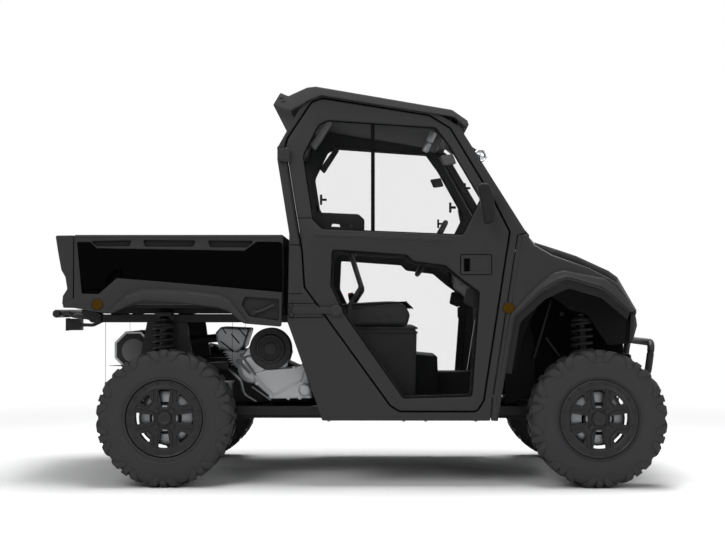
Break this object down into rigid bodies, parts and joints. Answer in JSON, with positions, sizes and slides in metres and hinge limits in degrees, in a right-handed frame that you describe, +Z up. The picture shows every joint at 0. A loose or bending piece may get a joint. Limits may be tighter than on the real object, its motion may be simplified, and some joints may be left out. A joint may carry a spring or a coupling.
{
  "type": "side by side utility vehicle",
  "caption": "Side by side utility vehicle: closed cab with opening doors, tipping cargo bed with drop tailgate, lifting hood, steered front wheels and lugged tyres.",
  "frame": {"origin": "on the ground under the centre of the vehicle's box", "axes": "+X forward, +Y left, +Z up"},
  "size_m": [3.1448, 1.72, 1.9895],
  "materials": {
    "body_matte": "matte dark grey",
    "body_gloss": "gloss black",
    "black_plastic": "textured black",
    "frame_steel": "satin black",
    "cast_alu": "cast",
    "bright_steel": "turned",
    "muffler_steel": "heat proof grey",
    "clear_glass": "lightly tinted",
    "seat_vinyl": "grained vinyl",
    "tyre_rubber": "matte rubber",
    "rim_paint": "satin dark grey",
    "lamp_lens": "clear lens",
    "amber_lens": "amber"
  },
  "bodies": {
    "chassis": {"belt_drive_cover": "black_plastic", "cab_crossbars": "frame_steel", "cab_glass": "clear_glass", "cab_sides": "body_matte", "console": "black_plastic", "cowl_panel": "black_plastic", "dashboard": "black_plastic", "door_hinges": "frame_steel", "drive_shafts": "bright_steel", "engine": "cast_alu", "floor_tub": "black_plastic", "frame_crossmembers": "frame_steel", "frame_rails": "frame_steel", "frame_uprights": "frame_steel", "front_bumper": "frame_steel", "front_fascia": "body_matte", "front_fenders": "body_matte", "gearcases": "cast_alu", "headlamps": "lamp_lens", "hitch_bumper": "frame_steel", "marker_lamps": "amber_lens", "muffler": "muffler_steel", "prop_shaft": "bright_steel", "rear_knuckles": "cast_alu", "rear_wall": "black_plastic", "roof": "black_plastic", "seat_backs": "seat_vinyl", "seat_base": "black_plastic", "seat_cushions": "seat_vinyl", "seat_guards": "frame_steel", "shocks": "frame_steel", "skid_plate": "black_plastic", "steering_column": "black_plastic", "suspension_arms": "frame_steel", "wheel_liners": "black_plastic"},
    "knuckle_right": {"knuckle_right": "cast_alu"},
    "knuckle_left": {"knuckle_left": "cast_alu"},
    "wheel_front_right": {"tyre_front_right": "tyre_rubber", "rim_front_right": "rim_paint"},
    "wheel_front_left": {"tyre_front_left": "tyre_rubber", "rim_front_left": "rim_paint"},
    "wheel_rear_right": {"tyre_rear_right": "tyre_rubber", "rim_rear_right": "rim_paint"},
    "wheel_rear_left": {"tyre_rear_left": "tyre_rubber", "rim_rear_left": "rim_paint"},
    "steering_wheel": {"steering_wheel": "black_plastic"},
    "tie_rods": {"tie_rods": "bright_steel"},
    "door_right": {"door_right": "body_matte", "door_glass_right": "clear_glass", "mirror_right": "black_plastic"},
    "door_left": {"door_left": "body_matte", "door_glass_left": "clear_glass", "mirror_left": "black_plastic"},
    "hood": {"hood": "body_gloss"},
    "bed": {"bed_floor": "black_plastic", "bed_sides": "body_matte", "bed_markers": "amber_lens"},
    "tailgate": {"tailgate": "body_matte"}
  },
  "joints": [
    {"name": "steer_left", "type": "hinge", "parent": "chassis", "child": "knuckle_left", "pos_m": [1.2075, 0.6, 0.337], "axis": [0, 0, 1], "range_deg": [-30, 30]},
    {"name": "steer_right", "type": "hinge", "parent": "chassis", "child": "knuckle_right", "pos_m": [1.2075, -0.6, 0.337], "axis": [0, 0, 1], "range_deg": [-30, 30]},
    {"name": "tie_rod_slide", "type": "slide", "parent": "chassis", "child": "tie_rods", "axis": [0, 1, 0], "range_m": [-0.0585, 0.0585]},
    {"name": "steering_wheel_turn", "type": "hinge", "parent": "chassis", "child": "steering_wheel", "pos_m": [0.4345, 0.36, 1.22], "axis": [-0.8772, 0, 0.4801], "range_deg": [-245, 245]},
    {"name": "wheel_front_right_spin", "type": "hinge", "parent": "knuckle_right", "child": "wheel_front_right", "pos_m": [1.2075, -0.685, 0.337], "axis": [0, 1, 0], "continuous": true},
    {"name": "wheel_front_left_spin", "type": "hinge", "parent": "knuckle_left", "child": "wheel_front_left", "pos_m": [1.2075, 0.685, 0.337], "axis": [0, 1, 0], "continuous": true},
    {"name": "wheel_rear_right_spin", "type": "hinge", "parent": "chassis", "child": "wheel_rear_right", "pos_m": [-0.9225, -0.665, 0.337], "axis": [0, 1, 0], "continuous": true},
    {"name": "wheel_rear_left_spin", "type": "hinge", "parent": "chassis", "child": "wheel_rear_left", "pos_m": [-0.9225, 0.665, 0.337], "axis": [0, 1, 0], "continuous": true},
    {"name": "door_right_hinge", "type": "hinge", "parent": "chassis", "child": "door_right", "pos_m": [-0.3025, -0.747, 0.866], "axis": [0.0749, -0.0571, -0.9956], "range_deg": [0, 75]},
    {"name": "door_left_hinge", "type": "hinge", "parent": "chassis", "child": "door_left", "pos_m": [-0.3025, 0.747, 0.866], "axis": [-0.0749, -0.0571, 0.9956], "range_deg": [0, 75]},
    {"name": "hood_hinge", "type": "hinge", "parent": "chassis", "child": "hood", "pos_m": [0.9325, 0, 1.202], "axis": [0, -1, 0], "range_deg": [0, 55]},
    {"name": "bed_tilt", "type": "hinge", "parent": "chassis", "child": "bed", "pos_m": [-1.3925, 0, 0.866], "axis": [0, -1, 0], "range_deg": [0, 42]},
    {"name": "tailgate_hinge", "type": "hinge", "parent": "bed", "child": "tailgate", "pos_m": [-1.4205, 0, 0.893], "axis": [0, 1, 0], "range_deg": [-90, 0]}
  ],
  "couplings": [
    {"joint": "steer_right", "follows": "steer_left", "ratio": 1},
    {"joint": "tie_rod_slide", "follows": "steer_left", "m_per_rad": -0.11},
    {"joint": "steering_wheel_turn", "follows": "steer_left", "ratio": 8}
  ]
}
